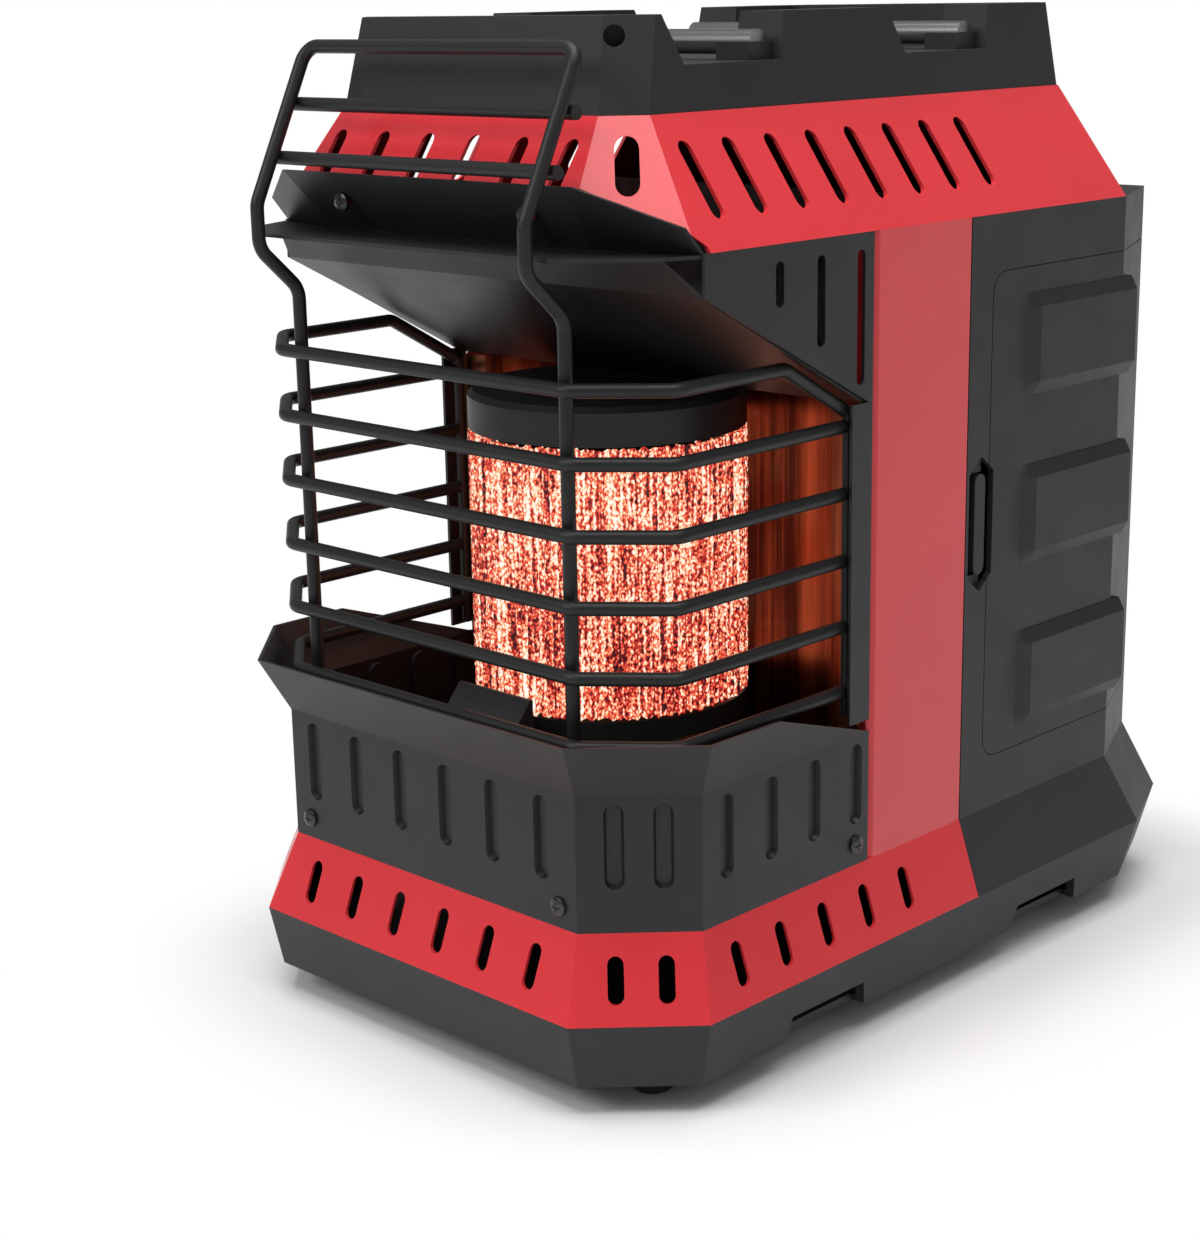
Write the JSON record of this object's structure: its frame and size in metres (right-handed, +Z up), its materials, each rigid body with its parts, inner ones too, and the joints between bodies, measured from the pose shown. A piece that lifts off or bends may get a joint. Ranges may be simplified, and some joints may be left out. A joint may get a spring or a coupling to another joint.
{
  "type": "portable propane heater",
  "caption": "Portable radiant propane heater with a wire guard, a glowing round burner, a hood, an enclosed cylinder bay with a door, and a tray top with carry bars.",
  "frame": {"origin": "floor level, in the middle of the overall width and length", "axes": "+Z up, the burner faces -Y, +X is the side with the door catch"},
  "size_m": [0.2286, 0.343, 0.362],
  "materials": {
    "red_paint": "gloss red powder coat",
    "black_sheet": "satin black heat paint",
    "galvanised_sheet": "plain zinc coated sheet",
    "guard_wire": "satin dark grey coated wire",
    "black_plastic": "fine moulded grain",
    "grip_rubber": "matt",
    "screw_steel": "plated",
    "bar_metal": "satin",
    "burner_mesh": "woven wire glowing orange",
    "burner_steel": "heat darkened steel",
    "copper_reflector": "polished, copper toned",
    "valve_brass": "machined",
    "cast_zinc": "die cast",
    "hinge_plastic": "moulded",
    "igniter_plastic": "moulded",
    "igniter_red": "moulded",
    "white_ceramic": "glazed"
  },
  "bodies": {
    "root": {"base_tray": "black_plastic", "burner_base": "burner_steel", "burner_cap": "burner_steel", "burner_core": "burner_steel", "burner_feed_tube": "copper_reflector", "burner_mesh": "burner_mesh", "burner_throat": "burner_steel", "carry_bar_front": "bar_metal", "carry_bar_rear": "bar_metal", "deck_plate": "galvanised_sheet", "foot_front_left": "grip_rubber", "foot_front_right": "grip_rubber", "foot_rear_left": "grip_rubber", "foot_rear_right": "grip_rubber", "front_shroud": "black_sheet", "gas_valve": "valve_brass", "guard_bars": "guard_wire", "guard_frame": "guard_wire", "guard_posts": "guard_wire", "guard_ring_1": "guard_wire", "guard_ring_2": "guard_wire", "guard_ring_3": "guard_wire", "guard_ring_4": "guard_wire", "guard_ring_5": "guard_wire", "guard_ring_6": "guard_wire", "gusset_left": "black_sheet", "gusset_right": "black_sheet", "hinge_knuckles_housing": "hinge_plastic", "hinge_pins": "screw_steel", "hood_deflector": "black_sheet", "hood_screws": "screw_steel", "hood_visor": "black_sheet", "igniter_body": "igniter_plastic", "latch_cup": "black_plastic", "lower_skirt": "red_paint", "partition_plate": "galvanised_sheet", "pilot_burner": "valve_brass", "pilot_shield": "burner_steel", "rear_housing": "black_plastic", "reflector": "copper_reflector", "regulator_bracket": "galvanised_sheet", "shroud_screws": "screw_steel", "side_flange_left": "black_sheet", "side_flange_right": "black_sheet", "side_panel_left": "red_paint", "side_panel_right": "red_paint", "spark_electrode": "white_ceramic", "thermocouple": "screw_steel", "tip_pivot_pin": "screw_steel", "tip_switch_housing": "black_plastic", "top_cover": "black_plastic", "upper_shoulder": "red_paint"},
    "rear_door": {"rear_door": "black_plastic", "hinge_knuckles_door": "hinge_plastic"},
    "door_catch": {"door_catch": "black_plastic"},
    "control_stem": {"control_stem": "screw_steel"},
    "control_knob": {"control_knob": "black_plastic"},
    "igniter_button": {"igniter_button": "igniter_red"},
    "regulator": {"regulator": "cast_zinc"},
    "tip_pendulum": {"tip_pendulum": "screw_steel"}
  },
  "joints": [
    {"name": "door_hinge", "type": "hinge", "parent": "root", "child": "rear_door", "pos_m": [-0.1093, 0.0292, 0.18], "axis": [0, 0, 1], "range_deg": [0, 105]},
    {"name": "catch_slide", "type": "slide", "parent": "root", "child": "door_catch", "axis": [0, -1, 0], "range_m": [0, 0.004], "stiffness_N_per_m": 300, "springref_m": -0.002},
    {"name": "stem_push", "type": "slide", "parent": "root", "child": "control_stem", "axis": [0, -0.7452, -0.6669], "range_m": [0, 0.004], "stiffness_N_per_m": 400, "springref_m": -0.003},
    {"name": "knob_turn", "type": "hinge", "parent": "control_stem", "child": "control_knob", "pos_m": [-0.034, 0.14152, 0.3103], "axis": [0, 0.7452, 0.6669], "range_deg": [-270, 0]},
    {"name": "igniter_push", "type": "slide", "parent": "root", "child": "igniter_button", "axis": [0, -0.7452, -0.6669], "range_m": [0, 0.005], "stiffness_N_per_m": 500, "springref_m": -0.003},
    {"name": "regulator_swivel", "type": "hinge", "parent": "root", "child": "regulator", "pos_m": [0, 0.094, 0.279], "axis": [1, 0, 0], "range_deg": [0, 30]},
    {"name": "tip_pendulum_swing", "type": "hinge", "parent": "root", "child": "tip_pendulum", "pos_m": [-0.04, 0.07, 0.0605], "axis": [1, 0, 0], "range_deg": [-15, 15]}
  ]
}
